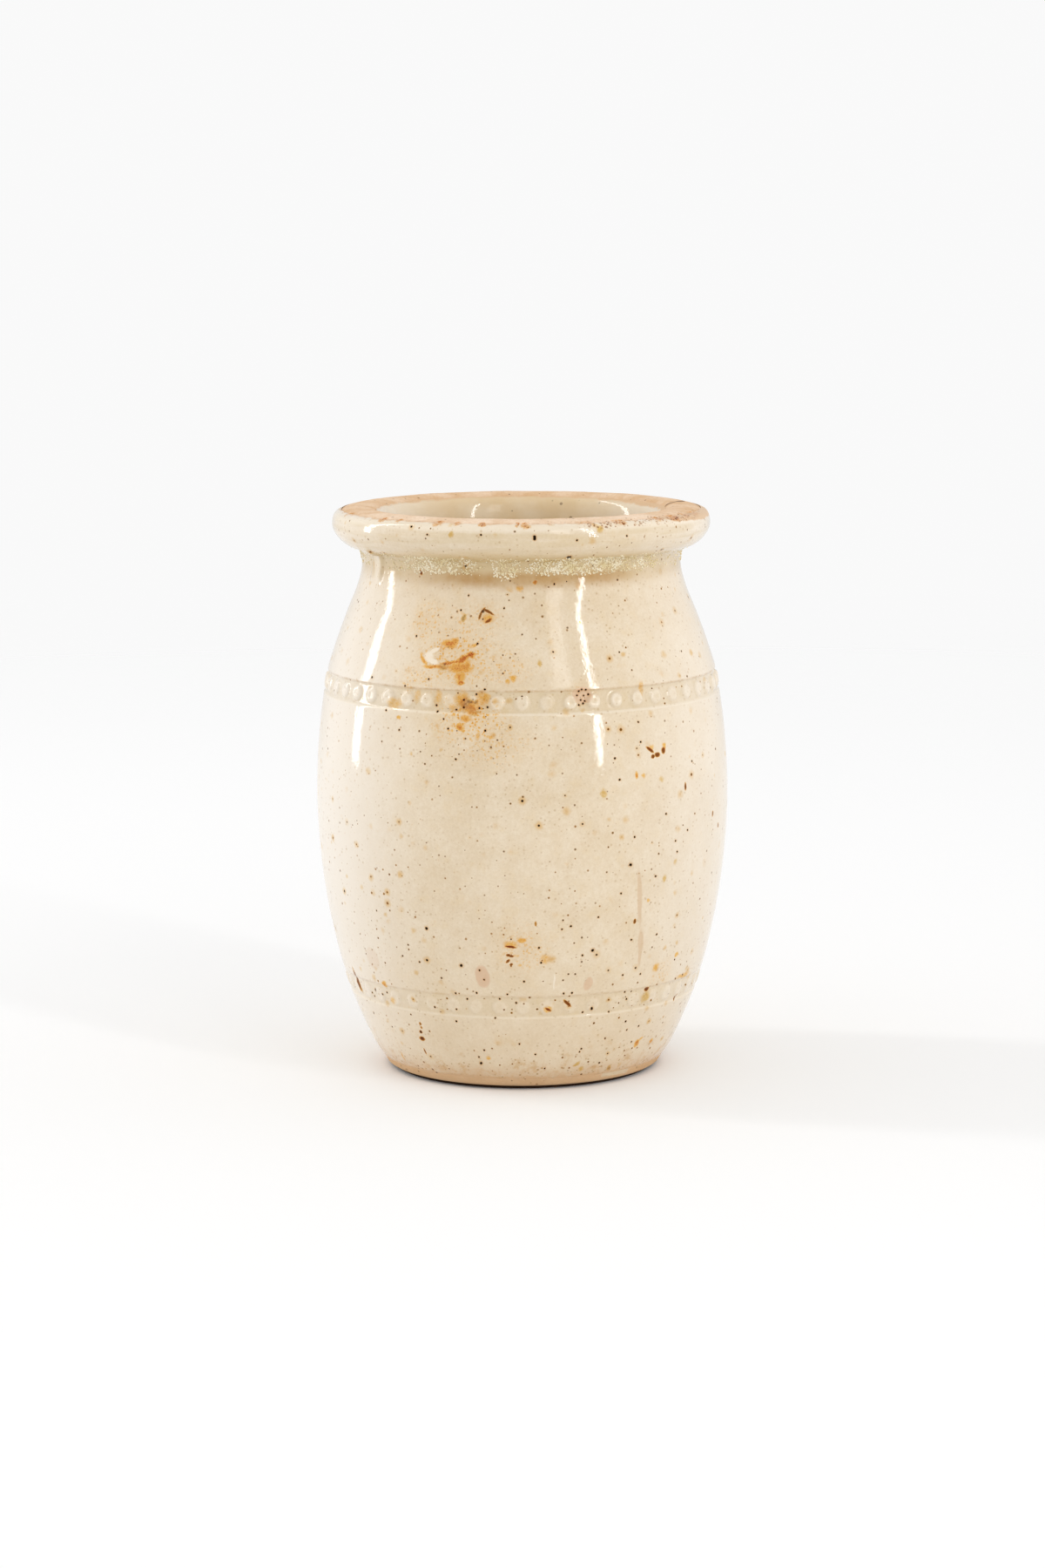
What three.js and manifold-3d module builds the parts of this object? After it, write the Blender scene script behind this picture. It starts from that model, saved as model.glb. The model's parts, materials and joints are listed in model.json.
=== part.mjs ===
// Stoneware caviar pot: a barrel of fired clay with a waisted neck, a rolled rim and two beaded bands.
// Glaze coats the outside and the inside. The top of the rim and the foot are bare clay.
// Millimetres, +Z up, the middle of the foot on the table at the origin.

import * as THREE from "three";
import { mergeVertices } from "three/addons/utils/BufferGeometryUtils.js";
import Module from "manifold-3d";

const wasm = await Module();
wasm.setup();

// Driving dimensions of the fired clay
const HEIGHT = 100; // table to the ridge of the rim
const FOOT_RADIUS = 23.8; // where the wall would meet the table
const FOOT_ROUND = 0.8; // soft edge between the foot and the wall
const BARE_FOOT = 2.2; // height of clay left bare above the table
const BELLY_RADIUS = 36.17; // widest part of the barrel
const BELLY_HEIGHT = 49.2; // height of the widest part
const BARREL_CURVE = 112; // radius of the barrel's side, seen from the side
const LOWER_BOW = 0.3; // how far the wall under the lower band bulges from a straight line
const SHOULDER_BOW = 0.25; // how far the shoulder bulges from a straight line
const NECK_RADIUS = 27.75; // narrowest part under the rim
const NECK_DROP = 10; // ridge of the rim down to the narrowest part
const NECK_COVE = 3.5; // height of the hollow curve below the narrowest part
const NECK_WALL = 3.55; // thickness of the neck
const RIM_OVERHANG = 5.2; // how far the rolled rim stands out from the neck
const RIM_DROP = 3.1; // ridge of the rim down to its widest part
const RIM_ROLL = 3.6; // size of the rounded underside of the rim
const RIM_FULLNESS = 0.42; // 0.55 would make that underside a true quarter circle
const RIM_CORNER = 0.9; // rounding at the top of the rim's face
const RIM_CROWN = 0.6; // drop from the ridge to the rim's outer edge
const RIDGE_INSET = 4.95; // widest part of the rim in to its highest ring
const LIP_ROUND = 3; // height of the rounded edge into the mouth
const WALL = 4.6; // thickness of the barrel
const FLOOR = 6; // thickness of the bottom
const FLOOR_CORNER = 8; // height of the rounded corner between the floor and the wall

// Driving dimensions of the beaded bands, sunk in the clay
const UPPER_BAND_DROP = 30.7; // ridge of the rim down to the middle of the band round the shoulder
const LOWER_BAND = 16.1; // height of the middle of the band over the foot
const BAND_WIDTH = 4.2;
const BAND_DEPTH = 0.3;
const BAND_EDGE = 0.3; // slope of each edge of the band
const UPPER_BEADS = 52;
const LOWER_BEADS = 48;
const BEAD_WIDTH = 2.4; // round the pot
const BEAD_HEIGHT = 2.9; // up the pot
const BEAD_RISE = 0.45;

// Glaze
const GLAZE = 0.4; // thickness of both coats

// Fineness of the curves
const STEPS = 3;
const SIDES = 36;
const BEAD_SIDES = 6;
const BEAD_STEPS = 2;

// Places that follow from the driving dimensions
const NECK_HEIGHT = HEIGHT - NECK_DROP;
const RIM_RADIUS = NECK_RADIUS + RIM_OVERHANG;
const RIM_HEIGHT = HEIGHT - RIM_DROP;
const RIDGE_RADIUS = RIM_RADIUS - RIDGE_INSET;
const MOUTH_RADIUS = NECK_RADIUS - NECK_WALL; // clay inside the mouth
const UPPER_BAND = HEIGHT - UPPER_BAND_DROP;

// A point of a profile: radius, then height
const at = (radius, height) => new THREE.Vector2(radius, height);

// Radius at a height on the barrel's side or, with a depth, on the same curve inside the wall
function barrelRadius(height, depth = 0) {
  const rise = height - BELLY_HEIGHT;
  return BELLY_RADIUS - BARREL_CURVE + Math.sqrt((BARREL_CURVE - depth) ** 2 - rise ** 2);
}

// Control point of a curve that bulges from the chord between two points, to the right of its run
function bowed(from, to, bow) {
  const run = to.clone().sub(from).normalize();
  return from.clone().lerp(to, 0.5).add(at(run.y, -run.x).multiplyScalar(2 * bow));
}

// Points along a path that starts at one point and is drawn by a function
function profile(start, draw) {
  const path = new THREE.Path();
  path.moveTo(start.x, start.y);
  draw(path);
  return path.getPoints(STEPS);
}

const lineTo = (path, to) => path.lineTo(to.x, to.y);
const curveTo = (path, control, to) => path.quadraticCurveTo(control.x, control.y, to.x, to.y);

// Barrel curve up or down from the path's end at one height to another, outside or inside the wall
function barrelTo(path, fromHeight, toHeight, depth) {
  const reach = BARREL_CURVE - depth;
  const angle = (height) => Math.asin((height - BELLY_HEIGHT) / reach);
  const middle = (angle(fromHeight) + angle(toHeight)) / 2;
  const far = reach / Math.cos((angle(toHeight) - angle(fromHeight)) / 2);
  const centre = at(BELLY_RADIUS - BARREL_CURVE, BELLY_HEIGHT);
  const control = at(centre.x + far * Math.cos(middle), centre.y + far * Math.sin(middle));
  curveTo(path, control, at(barrelRadius(toHeight, depth), toHeight));
}

// Corners of a sunk band: lower edge, both sides of its floor, upper edge
function bandCorners(middle) {
  const corner = (height, depth) => at(barrelRadius(height) - depth, height);
  const half = BAND_WIDTH / 2;
  return [
    corner(middle - half, 0),
    corner(middle - half + BAND_EDGE, BAND_DEPTH),
    corner(middle + half - BAND_EDGE, BAND_DEPTH),
    corner(middle + half, 0),
  ];
}

const lowerBand = bandCorners(LOWER_BAND);
const upperBand = bandCorners(UPPER_BAND);

// Bare foot: from the middle of the base, round the edge, up to the glaze line
const footEdge = at(FOOT_RADIUS, 0);
const lowerControl = bowed(footEdge, lowerBand[0], LOWER_BOW);
const upTheFoot = (height) => footEdge.clone().lerp(lowerControl, height / lowerControl.y);
const glazeLine = upTheFoot(BARE_FOOT);
const footProfile = profile(at(0, 0), (path) => {
  lineTo(path, at(FOOT_RADIUS - FOOT_ROUND, 0));
  curveTo(path, footEdge, upTheFoot(FOOT_ROUND));
  lineTo(path, glazeLine);
});

// Glazed outside: lower wall, band, barrel, band, shoulder, neck and rolled rim
const neck = at(NECK_RADIUS, NECK_HEIGHT);
const shoulderEnd = at(NECK_RADIUS, NECK_HEIGHT - NECK_COVE / 2);
const coveStart = upperBand[3].clone().lerp(shoulderEnd, 1 - NECK_COVE / (shoulderEnd.y - upperBand[3].y));
const rimUnder = RIM_HEIGHT - RIM_ROLL;
const rimRoot = at(RIM_RADIUS - RIM_ROLL, rimUnder);
const rimEdge = at(RIM_RADIUS - RIM_CORNER / 3, HEIGHT - RIM_CROWN - RIM_CORNER);
const rimTopEdge = at(RIM_RADIUS - RIM_CORNER, HEIGHT - RIM_CROWN);
const outsideProfile = profile(glazeLine, (path) => {
  curveTo(path, lowerControl, lowerBand[0]);
  lowerBand.slice(1).forEach((corner) => lineTo(path, corner));
  barrelTo(path, lowerBand[3].y, BELLY_HEIGHT, 0);
  barrelTo(path, BELLY_HEIGHT, upperBand[0].y, 0);
  upperBand.slice(1).forEach((corner) => lineTo(path, corner));
  curveTo(path, bowed(upperBand[3], coveStart, SHOULDER_BOW), coveStart);
  curveTo(path, shoulderEnd, neck);
  curveTo(path, at(NECK_RADIUS, rimUnder), rimRoot);
  const pull = RIM_ROLL * RIM_FULLNESS;
  path.bezierCurveTo(rimRoot.x + pull, rimUnder, RIM_RADIUS, RIM_HEIGHT - pull, RIM_RADIUS, RIM_HEIGHT);
  lineTo(path, rimEdge);
  curveTo(path, at(rimEdge.x, rimTopEdge.y), rimTopEdge);
});

// Bare rim: over the ridge and half way round the lip, where the inner glaze starts
const ridge = at(RIDGE_RADIUS, HEIGHT);
const lipCorner = at(MOUTH_RADIUS, HEIGHT);
const lipEnd = at(MOUTH_RADIUS, HEIGHT - LIP_ROUND);
const overLip = ridge.clone().lerp(lipCorner, 0.5);
const downLip = lipCorner.clone().lerp(lipEnd, 0.5);
const innerGlazeLine = overLip.clone().lerp(downLip, 0.5);
const rimProfile = profile(rimTopEdge, (path) => {
  curveTo(path, at((RIDGE_RADIUS + RIM_RADIUS) / 2, HEIGHT), ridge);
  curveTo(path, overLip, innerGlazeLine);
});

// Glazed inside: lip, throat, barrel and rounded floor, down to the middle
const throat = at(MOUTH_RADIUS, rimUnder);
const insideTop = at(barrelRadius(UPPER_BAND, WALL), UPPER_BAND);
const cornerTop = at(barrelRadius(FLOOR + FLOOR_CORNER, WALL), FLOOR + FLOOR_CORNER);
const insideProfile = profile(innerGlazeLine, (path) => {
  curveTo(path, downLip, lipEnd);
  lineTo(path, throat);
  curveTo(path, at(MOUTH_RADIUS, NECK_HEIGHT - NECK_COVE), insideTop);
  barrelTo(path, insideTop.y, cornerTop.y, WALL);
  curveTo(path, at(cornerTop.x - FLOOR_CORNER / 2, FLOOR), at(cornerTop.x - FLOOR_CORNER, FLOOR));
  lineTo(path, at(0, FLOOR));
});

// One list of points from several that follow on from each other
function joined(...lists) {
  return lists.flatMap((list, index) => (index === 0 ? list : list.slice(1)));
}

// The same run of points moved a distance to its right, with mitred corners
function movedOut(points, distance) {
  const normals = points.slice(1).map((point, index) => {
    const run = point.clone().sub(points[index]).normalize();
    return at(run.y, -run.x);
  });
  return points.map((point, index) => {
    const before = normals[Math.max(index - 1, 0)];
    const after = normals[Math.min(index, normals.length - 1)];
    const mitre = before.clone().add(after).divideScalar(1 + before.dot(after));
    return point.clone().addScaledVector(mitre, distance);
  });
}

// Closed outline of a coat of glaze lying on a run of clay points
function coatOutline(points) {
  const skin = movedOut(points, GLAZE);
  return [...points.slice().reverse(), ...skin, points[points.length - 1]];
}

// A profile turned about the +Z axis
function turned(points, sides = SIDES) {
  return new THREE.LatheGeometry(points, sides).rotateX(Math.PI / 2);
}

// A closed three.js geometry as a manifold solid, and back
function toSolid(geometry) {
  const bare = geometry.clone();
  bare.deleteAttribute("normal");
  bare.deleteAttribute("uv");
  const merged = mergeVertices(bare, 1e-3);
  const mesh = new wasm.Mesh({
    numProp: 3,
    vertProperties: new Float32Array(merged.attributes.position.array),
    triVerts: new Uint32Array(merged.index.array),
  });
  return new wasm.Manifold(mesh);
}

function toGeometry(solid) {
  const mesh = solid.getMesh();
  const geometry = new THREE.BufferGeometry();
  geometry.setAttribute("position", new THREE.BufferAttribute(mesh.vertProperties, 3));
  geometry.setIndex(new THREE.BufferAttribute(mesh.triVerts, 1));
  geometry.computeVertexNormals();
  return geometry;
}

// A low oval dome whose root is half way down in the glaze, pointing along +Z, its height along X
function beadGeometry() {
  const root = GLAZE / 2;
  const dome = new THREE.EllipseCurve(0, -root, BEAD_WIDTH / 2, BEAD_RISE + root, 0, Math.PI / 2);
  const round = turned([at(0, -root), ...dome.getPoints(BEAD_STEPS)], BEAD_SIDES);
  return round.scale(BEAD_HEIGHT / BEAD_WIDTH, 1, 1);
}

// A ring of beads on the glazed floor of a band
function beadRing(corners, count) {
  const floor = movedOut([corners[1], corners[2]], GLAZE);
  const middle = floor[0].clone().lerp(floor[1], 0.5);
  const tilt = Math.atan2(floor[0].x - floor[1].x, floor[1].y - floor[0].y);
  const side = (2 * Math.PI) / SIDES;
  return Array.from({ length: count }, (_, index) => {
    const angle = (2 * Math.PI * index) / count;
    const offFacet = (angle % side) - side / 2;
    const radius = (middle.x * Math.cos(side / 2)) / Math.cos(offFacet);
    return beadGeometry()
      .rotateY(Math.PI / 2 - tilt)
      .translate(radius, 0, middle.y)
      .rotateZ(angle);
  });
}

function beadedCoat() {
  const coat = toSolid(turned(coatOutline(outsideProfile)));
  const beads = [...beadRing(lowerBand, LOWER_BEADS), ...beadRing(upperBand, UPPER_BEADS)];
  return toGeometry(beads.reduce((solid, bead) => solid.add(toSolid(bead)), coat));
}

// Named pieces
function piece(name, geometry, color, roughness) {
  const material = new THREE.MeshStandardMaterial({ color, roughness, metalness: 0 });
  material.name = name;
  const mesh = new THREE.Mesh(geometry, material);
  mesh.name = name;
  return mesh;
}

const clayOutline = joined(footProfile, outsideProfile, rimProfile, insideProfile);
const pot = new THREE.Group();
pot.name = "stoneware_caviar_pot";
pot.add(piece("stoneware_body", turned(clayOutline), 0xd2a97c, 0.85));
pot.add(piece("outer_glaze", beadedCoat(), 0xe3d0b4, 0.15));
pot.add(piece("inner_glaze", turned(coatOutline(insideProfile)), 0xd9c4a2, 0.15));

export default pot;
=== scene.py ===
# %% [markdown]
# A stoneware caviar pot. It is a small barrel of fired clay with a waisted neck and a rolled rim.
# A cream glaze covers it outside and inside. The top of the rim and the foot are left bare.
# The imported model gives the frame: its three solids say how big each piece is and where it sits.

# %% Load the frame
import json
import math
import random

import bpy
from mathutils import Matrix, Vector, noise

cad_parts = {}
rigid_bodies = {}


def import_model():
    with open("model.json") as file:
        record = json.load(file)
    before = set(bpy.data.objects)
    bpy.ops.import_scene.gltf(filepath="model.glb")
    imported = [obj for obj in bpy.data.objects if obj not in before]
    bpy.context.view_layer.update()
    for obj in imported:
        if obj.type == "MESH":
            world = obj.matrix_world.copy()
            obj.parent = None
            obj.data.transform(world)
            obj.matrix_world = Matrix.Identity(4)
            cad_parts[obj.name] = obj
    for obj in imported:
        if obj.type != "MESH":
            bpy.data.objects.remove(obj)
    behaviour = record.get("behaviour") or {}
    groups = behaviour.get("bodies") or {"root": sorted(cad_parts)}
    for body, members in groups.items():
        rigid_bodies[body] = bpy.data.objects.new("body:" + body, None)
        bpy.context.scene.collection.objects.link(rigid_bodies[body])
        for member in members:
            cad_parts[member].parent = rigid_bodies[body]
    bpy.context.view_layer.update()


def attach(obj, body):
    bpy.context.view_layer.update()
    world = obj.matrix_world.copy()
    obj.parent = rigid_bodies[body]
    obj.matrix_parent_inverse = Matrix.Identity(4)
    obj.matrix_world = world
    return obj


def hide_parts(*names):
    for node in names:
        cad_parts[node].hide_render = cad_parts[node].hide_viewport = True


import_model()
MM = 0.001

# %% [markdown]
# The photograph was taken with a long lens, a little above the rim, so the mouth shows as a thin ellipse.
# The camera is set by its pitch and its distance from a point on the pot's axis, as a tripod is.
# A slight roll brings in the lean that the pot has in the picture.

# %% Camera
PHOTO_HEIGHT = 1800  # pixels
FOCAL_LENGTH = 4882  # pixels
SENSOR = 36  # mm along the long side of the picture
AIM = Vector((0.00006, 0, 0.05015))
DISTANCE = 0.7567
PITCH = math.radians(8.78)
ROLL = math.radians(-0.24)

turn = Matrix.Rotation(math.radians(90) - PITCH, 3, "X") @ Matrix.Rotation(ROLL, 3, "Z")
stand = AIM + DISTANCE * (turn @ Vector((0, 0, 1)))
bpy.ops.object.camera_add(location=stand, rotation=turn.to_euler())
camera = bpy.context.object
camera.data.sensor_width = SENSOR
camera.data.lens = FOCAL_LENGTH * SENSOR / PHOTO_HEIGHT
bpy.context.scene.camera = camera
bpy.context.scene.view_settings.view_transform = "Standard"
print("Camera at", [round(value, 4) for value in stand], "lens", round(camera.data.lens, 1), "mm")

# %% [markdown]
# Materials, the floor and the sky are built from shader nodes. Dozens of hand-wired Math nodes hide the idea.
# So a small class wraps a socket: arithmetic on two wires adds the Math node, and a mask reads as a formula.
# One method adds every other kind of node, with its settings first and then its inputs.


# %% Shader maths as formulas
class Wire:
    """An output socket of a node. Arithmetic on wires adds Math nodes to the same tree."""

    def __init__(self, socket):
        self.socket = socket

    def node(self, kind, settings, inputs, output=0):
        """Add a node of any kind and return one of its outputs."""
        tree = self.socket.id_data
        made = tree.nodes.new(kind)
        for name, value in settings.items():
            setattr(made, name, value)
        for name, value in inputs.items():
            if isinstance(value, Wire):
                tree.links.new(value.socket, made.inputs[name])
            else:
                made.inputs[name].default_value = value
        return Wire(made.outputs[output])

    def other(self, output):
        """Another output of the node that this wire comes from."""
        return Wire(self.socket.node.outputs[output])

    def maths(self, operation, *terms):
        return self.node("ShaderNodeMath", {"operation": operation}, dict(enumerate(terms)))

    def __add__(self, term):
        return self.maths("ADD", self, term)

    def __sub__(self, term):
        return self.maths("SUBTRACT", self, term)

    def __rsub__(self, term):
        return self.maths("SUBTRACT", term, self)

    def __mul__(self, term):
        return self.maths("MULTIPLY", self, term)

    def __truediv__(self, term):
        return self.maths("DIVIDE", self, term)

    __radd__ = __add__
    __rmul__ = __mul__

    def either(self, term):
        return self.maths("MAXIMUM", self, term)

    def unsigned(self):
        return self.maths("ABSOLUTE", self)

    def ramp(self, start, end, top=1):
        """0 at start and beyond, top at end and beyond, smooth between."""
        settings = {"interpolation_type": "SMOOTHSTEP"}
        return self.node("ShaderNodeMapRange", settings, {0: self, 1: start, 2: end, 4: top})

    def peak(self, middle, reach):
        """1 at the middle, 0 at that reach from it and beyond."""
        return self.ramp(middle - reach, middle) * self.ramp(middle + reach, middle)

    def axis(self, name):
        return self.node("ShaderNodeSeparateXYZ", {}, {0: self}, name)

    def vector(self, operation, *terms, output="Vector"):
        """Vector Math on this wire and further terms. A length or a distance comes out at Value."""
        inputs = dict(enumerate((self, *terms)))
        return self.node("ShaderNodeVectorMath", {"operation": operation}, inputs, output)

    def scaled(self, factor):
        return self.node("ShaderNodeVectorMath", {"operation": "SCALE"}, {0: self, "Scale": factor})


def shade(red, green, blue):
    """A colour as a screen shows it, 0 to 255, as the linear colour that a shader takes."""
    def linear(level):
        level /= 255
        return level / 12.92 if level <= 0.04045 else ((level + 0.055) / 1.055) ** 2.4

    return (linear(red), linear(green), linear(blue), 1)


def blend(amount, ground, colour, kind="MIX"):
    """A colour mixed over another by a mask. 6, 7 and 2 are the Mix node's colour sockets."""
    settings = {"data_type": "RGBA", "blend_type": kind, "clamp_factor": True}
    return amount.node("ShaderNodeMix", settings, {0: amount, 6: ground, 7: colour}, 2)


def stain(amount, ground, tint):
    """A tint that darkens what is under it, as colour in a glaze does."""
    return blend(amount, ground, tint, "MULTIPLY")


def deep_stain(amount, ground, light, dark):
    """A stain with a light tint that comes first and a dark tint where it is strong."""
    return stain(amount.ramp(0.4, 1), stain(amount.ramp(0, 0.5), ground, light), dark)


print("Shader helpers ready")

# %% [markdown]
# The pot stands on a white table in front of a white wall, with soft light from all round.
# The sky stands for that room. Its sides are brightest, as beside big soft lamps, and whiten the pot's edges.
# The camera sees an even white. The floor glows a little, and still keeps the pot's shadow. Close round the
# foot it has no glow, which paints a darker ring of shadow there.
# Further off it fades away, so no edge shows between the table and the wall.

# %% White surroundings
FRONT = 0.75  # brightness of the room in front of the pot; the back and the sides add to it
BACK = 0.06
SIDES = 0.38
WHITE = 0.95  # what the camera sees
FLOOR_GLOW = 0.085
# Painted contact shadow: inside the first radius the floor has no glow, and the glow grows to full by the
# second.
SHADOW_RING_INNER = 0.0236  # metres from the pot's axis where the glow starts, and where it is full
SHADOW_RING_OUTER = 0.0256
FLOOR_NEAR = 0.25  # metres from the axis where the floor starts to fade into the white, and where it is gone
FLOOR_FAR = 0.8

world = bpy.data.worlds.new("studio")
bpy.context.scene.world = world
world.use_nodes = True
sky = world.node_tree.nodes["Background"]
sky.inputs["Color"].default_value = (1, 1, 1, 1)
ray = Wire(sky.outputs[0]).node("ShaderNodeLightPath", {}, {}, "Is Camera Ray")
way = ray.node("ShaderNodeTexCoord", {}, {}, "Generated")
sideways = way.axis("X").unsigned()
room = FRONT + way.axis("Y").ramp(-0.6, 0.6) * BACK + sideways.ramp(0.35, 0.95) * SIDES
world.node_tree.links.new((room + ray * (WHITE - room)).socket, sky.inputs["Strength"])

bpy.ops.object.select_all(action="DESELECT")
bpy.ops.mesh.primitive_plane_add(size=10, location=(0, 0, -0.02 * MM))
floor = bpy.context.object
floor.name = "floor"
paper = bpy.data.materials.new("white_table")
paper.use_nodes = True
sheet = paper.node_tree.nodes["Principled BSDF"]
sheet.inputs["Base Color"].default_value = (0.9, 0.9, 0.9, 1)
sheet.inputs["Roughness"].default_value = 0.9
sheet.inputs["Specular IOR Level"].default_value = 0.1
sheet.inputs["Emission Strength"].default_value = 1
ray = Wire(sheet.outputs[0]).node("ShaderNodeLightPath", {}, {}, "Is Camera Ray")
spot = ray.node("ShaderNodeTexCoord", {}, {}, "Object")
away = spot.vector("LENGTH", output="Value")
# The glow is left out close round the foot, a painted contact shadow.
seen = ray.either(ray.other("Is Glossy Ray")) * away.ramp(SHADOW_RING_INNER, SHADOW_RING_OUTER, FLOOR_GLOW)
glow = seen.node("ShaderNodeCombineColor", {}, {0: seen, 1: seen, 2: seen})
paper.node_tree.links.new(glow.socket, sheet.inputs["Emission Color"])
far = away.ramp(FLOOR_NEAR, FLOOR_FAR)
clear = far.node("ShaderNodeBsdfTransparent", {}, {})
faded = far.node("ShaderNodeMixShader", {}, {0: far, 1: Wire(sheet.outputs[0]), 2: clear})
paper.node_tree.links.new(faded.socket, paper.node_tree.nodes["Material Output"].inputs["Surface"])
floor.data.materials.append(paper)
print("Floor and sky ready")

# %% [markdown]
# Two upright white streaks run down the glaze, one on each side. They mirror two narrow strip lights.
# A streak at an angle round the pot mirrors a light at twice that angle, which gives the lights their places.
# A third light is wide and faint, and hangs high. It leaves a pale patch on the shoulder, which leans back.

# %% Studio lights
LAMP_DISTANCE = 1  # metres


def panel(name, angle, width, bottom, top, brightness):
    """An upright rectangle of light that faces the pot, at an angle to the right of the camera."""
    towards = Vector((-math.sin(math.radians(angle)), math.cos(math.radians(angle)), 0))
    place = -LAMP_DISTANCE * towards + Vector((0, 0, (bottom + top) / 2))
    turned_in = towards.to_track_quat("-Z", "Y").to_euler()
    bpy.ops.object.light_add(type="AREA", location=place, rotation=turned_in)
    lamp = bpy.context.object
    lamp.name = name
    lamp.data.shape = "RECTANGLE"
    lamp.data.size = width
    lamp.data.size_y = top - bottom
    lamp.data.energy = brightness * math.pi * width * (top - bottom)
    lamp.visible_camera = False
    print(name, "gives", round(lamp.data.energy, 2), "W")


panel("strip_left", angle=-105, width=0.09, bottom=0, top=1.5, brightness=7.2)
panel("strip_right", angle=43, width=0.045, bottom=0.065, top=1.2, brightness=13.5)
panel("high_panel", angle=24.5, width=0.2, bottom=0.4, top=1, brightness=1.5)

# %% [markdown]
# A pot like this is thrown on a wheel, so one line turned about the axis gives its whole shape.
# The line is drawn from the same sizes as the solids, in mm: a barrel arc, a shoulder, a neck and a roll.
# Each curve is a formula, so it can be drawn as finely as the render needs.

# %% Sizes of the clay
HEIGHT = 100
FOOT_RADIUS = 23.8
FOOT_UNDERCUT = 0.9
FOOT_GAP = 0.55
BARE_FOOT = 2.2
BELLY_RADIUS = 36.17
BELLY_HEIGHT = 49.2
BARREL_CURVE = 112
LOWER_BOW = 0.3
SHOULDER_BOW = 0.25
NECK_RADIUS = 27.75
NECK_HEIGHT = HEIGHT - 10
NECK_COVE = 3.5
RIM_RADIUS = NECK_RADIUS + 5.2
RIM_HEIGHT = HEIGHT - 3.1
RIM_ROLL = 3.6
RIM_FULLNESS = 0.42
RIM_CORNER = 1.3
RIM_CROWN = 0.6
RIDGE_RADIUS = RIM_RADIUS - 4.95
MOUTH_RADIUS = NECK_RADIUS - 3.55
LIP_ROUND = 5
WALL = 4.6
FLOOR = 6
FLOOR_CORNER = 8
UPPER_BAND = HEIGHT - 30.7
LOWER_BAND = 16.1
BAND_WIDTH = 4.2
BAND_DEPTH = 0.3
BAND_EDGE = 0.3
GLAZED_EDGE = 0.5  # slope of the same edges after glazing


def at(radius, height):
    return Vector((radius, height))


def between(start, end, count):
    """Evenly spaced numbers after start, up to end."""
    return [start + (end - start) * step / count for step in range(1, count + 1)]


def curve(start, control, end, count):
    """Points after start on a curve that leaves towards a control point and arrives at end."""
    return [start * (1 - t) ** 2 + control * 2 * t * (1 - t) + end * t * t for t in between(0, 1, count)]


def bowed(start, end, bow):
    """Control point of a curve that bulges to the right of its run."""
    run = (end - start).normalized()
    return (start + end) / 2 + at(run.y, -run.x) * 2 * bow


def barrel_radius(height, depth=0):
    """Radius of the barrel's side at a height, or of the same curve inside the wall."""
    rise = height - BELLY_HEIGHT
    return BELLY_RADIUS - BARREL_CURVE + math.sqrt((BARREL_CURVE - depth) ** 2 - rise**2)


def smooth(value):
    value = min(1, max(0, value))
    return value * value * (3 - 2 * value)


def wall_point(height):
    """A point on the barrel's side."""
    return at(barrel_radius(height), height)


print("Belly", 2 * BELLY_RADIUS, "mm across, rim", 2 * RIM_RADIUS, "mm across")

# %% [markdown]
# The outside line runs from the glaze's lower edge up the wall to the rim's outer edge.
# Rows of points lie close together in the bands and the rim, where the shape is fine, and wider elsewhere.

# %% Line of the outside
foot_edge = at(FOOT_RADIUS, 0)
band_bottom = LOWER_BAND - BAND_WIDTH / 2
lower_control = bowed(foot_edge, wall_point(band_bottom), LOWER_BOW)


def up_the_foot(height):
    return foot_edge.lerp(lower_control, height / lower_control.y)


def band_rows(middle):
    """Heights across one band: close at its edges, even over its floor."""
    half = BAND_WIDTH / 2
    rows = [middle - half - 0.4, middle - half]
    rows += between(middle - half, middle - half + GLAZED_EDGE, 4)
    rows += between(middle - half + GLAZED_EDGE, middle + half - GLAZED_EDGE, 10)
    rows += between(middle + half - GLAZED_EDGE, middle + half, 4)
    return rows + [middle + half + 0.4]


upper_end = wall_point(UPPER_BAND + BAND_WIDTH / 2)
shoulder_end = at(NECK_RADIUS, NECK_HEIGHT - NECK_COVE / 2)
cove_start = upper_end.lerp(shoulder_end, 1 - NECK_COVE / (shoulder_end.y - upper_end.y))
neck = at(NECK_RADIUS, NECK_HEIGHT)
rim_under = RIM_HEIGHT - RIM_ROLL
rim_root = at(RIM_RADIUS - RIM_ROLL, rim_under)
rim_side = at(RIM_RADIUS, RIM_HEIGHT)
rim_top = at(RIM_RADIUS - RIM_CORNER, HEIGHT - RIM_CROWN)
crown = at((RIDGE_RADIUS + RIM_RADIUS) / 2, HEIGHT)
rim_slope = (crown.y - rim_top.y) / (rim_top.x - crown.x)
rim_shoulder = at(RIM_RADIUS, rim_top.y - rim_slope * RIM_CORNER)


def rim_roll(count):
    """The rolled underside of the rim: a curve with two control points."""
    pull = RIM_ROLL * RIM_FULLNESS
    first = at(rim_root.x + pull, rim_under)
    second = at(RIM_RADIUS, RIM_HEIGHT - pull)
    points = []
    for t in between(0, 1, count):
        s = 1 - t
        points.append(rim_root * s**3 + first * 3 * s * s * t + second * 3 * s * t * t + rim_side * t**3)
    return points


glaze_line = up_the_foot(BARE_FOOT)
outside = [glaze_line]
outside += curve(glaze_line, lower_control, wall_point(band_bottom), 9)[:-1]
outside += [wall_point(height) for height in band_rows(LOWER_BAND)]
barrel_rows = between(LOWER_BAND + BAND_WIDTH / 2, UPPER_BAND - BAND_WIDTH / 2, 15)
outside += [wall_point(height) for height in barrel_rows[:-1]]
outside += [wall_point(height) for height in band_rows(UPPER_BAND)]
outside += curve(upper_end, bowed(upper_end, cove_start, SHOULDER_BOW), cove_start, 7)
outside += curve(cove_start, shoulder_end, neck, 6)
outside += curve(neck, at(NECK_RADIUS, rim_under), rim_root, 8)
outside += rim_roll(8)
outside += curve(rim_side, rim_shoulder, rim_top, 7)
print("Outside line:", len(outside), "points")

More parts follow.
